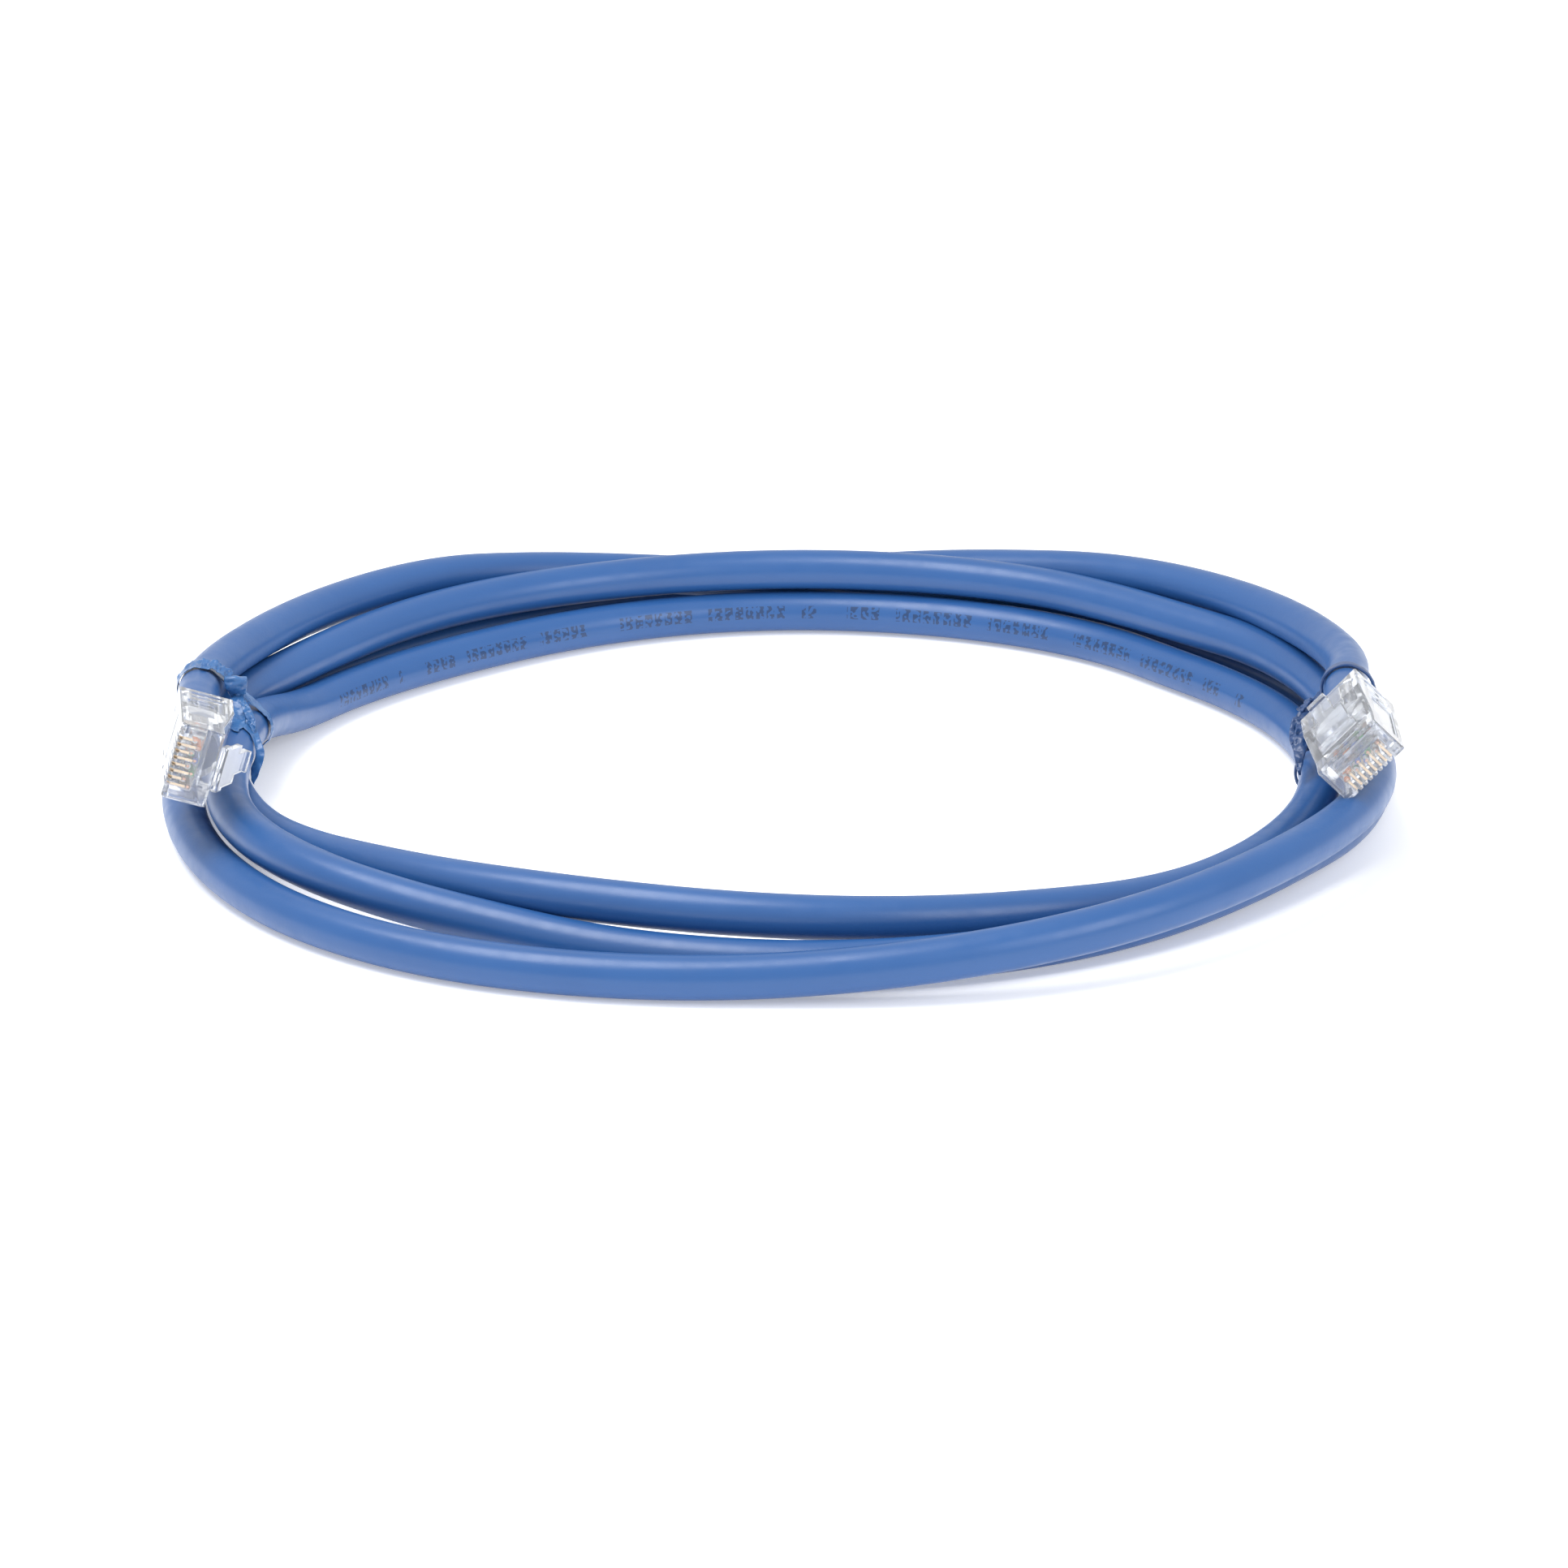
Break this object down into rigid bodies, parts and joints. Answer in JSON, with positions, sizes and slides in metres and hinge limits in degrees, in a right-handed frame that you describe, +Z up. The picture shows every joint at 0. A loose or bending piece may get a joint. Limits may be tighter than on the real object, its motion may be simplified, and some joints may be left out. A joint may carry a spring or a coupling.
{
  "type": "ethernet patch cable",
  "caption": "Round patch cable wound in a flat tied coil, with a clear modular plug and sprung latch at each end.",
  "frame": {"origin": "middle of the coil's underside, on the surface it lies on, in plan the middle of the whole object", "axes": "+Z up; +X from the left plug to the right plug; both plugs point to -Y"},
  "size_m": [0.193, 0.1921, 0.0268],
  "materials": {
    "cable_jacket": "satin blue PVC jacket",
    "tie_film": "crumpled thin blue plastic film",
    "tie_strap": "flat blue plastic strap",
    "clear_housing": "clear moulded polycarbonate",
    "clear_latch": "clear moulded polycarbonate, flexing",
    "contact_gold": "gold-plated phosphor bronze",
    "copper": "bare copper",
    "wire_orange": "orange wire insulation",
    "wire_white_orange": "white wire insulation with a orange stripe",
    "wire_green": "green wire insulation",
    "wire_white_green": "white wire insulation with a green stripe",
    "wire_blue": "blue wire insulation",
    "wire_white_blue": "white wire insulation with a blue stripe",
    "wire_brown": "brown wire insulation",
    "wire_white_brown": "white wire insulation with a brown stripe"
  },
  "bodies": {
    "cable": {"cable_coil": "cable_jacket", "left_lead": "cable_jacket", "right_lead": "cable_jacket", "film_tie_band": "tie_film", "film_tie_tails": "tie_film", "strap_tie_band": "tie_strap", "strap_tie_tails": "tie_strap", "left_plug_housing": "clear_housing", "left_wire_guide": "clear_housing", "left_strain_bar": "clear_housing", "left_copper_cores": "copper", "left_contact_1": "contact_gold", "left_conductor_1": "wire_white_orange", "left_contact_2": "contact_gold", "left_conductor_2": "wire_orange", "left_contact_3": "contact_gold", "left_conductor_3": "wire_white_green", "left_contact_4": "contact_gold", "left_conductor_4": "wire_blue", "left_contact_5": "contact_gold", "left_conductor_5": "wire_white_blue", "left_contact_6": "contact_gold", "left_conductor_6": "wire_green", "left_contact_7": "contact_gold", "left_conductor_7": "wire_white_brown", "left_contact_8": "contact_gold", "left_conductor_8": "wire_brown", "right_plug_housing": "clear_housing", "right_wire_guide": "clear_housing", "right_strain_bar": "clear_housing", "right_copper_cores": "copper", "right_contact_1": "contact_gold", "right_conductor_1": "wire_white_orange", "right_contact_2": "contact_gold", "right_conductor_2": "wire_orange", "right_contact_3": "contact_gold", "right_conductor_3": "wire_white_green", "right_contact_4": "contact_gold", "right_conductor_4": "wire_blue", "right_contact_5": "contact_gold", "right_conductor_5": "wire_white_blue", "right_contact_6": "contact_gold", "right_conductor_6": "wire_green", "right_contact_7": "contact_gold", "right_conductor_7": "wire_white_brown", "right_contact_8": "contact_gold", "right_conductor_8": "wire_brown"},
    "left_latch": {"left_plug_latch": "clear_latch"},
    "right_latch": {"right_plug_latch": "clear_latch"}
  },
  "joints": [
    {"name": "left_latch_flex", "type": "hinge", "parent": "cable", "child": "left_latch", "pos_m": [-0.08298, -0.04447, 0.01892], "axis": [0.2919, 0.0865, 0.9525], "range_deg": [0, 12], "stiffness_Nm_per_rad": 0.08},
    {"name": "right_latch_flex", "type": "hinge", "parent": "cable", "child": "right_latch", "pos_m": [0.08214, -0.04035, 0.02214], "axis": [-0.6899, -0.0003, -0.7239], "range_deg": [0, 12], "stiffness_Nm_per_rad": 0.08}
  ]
}
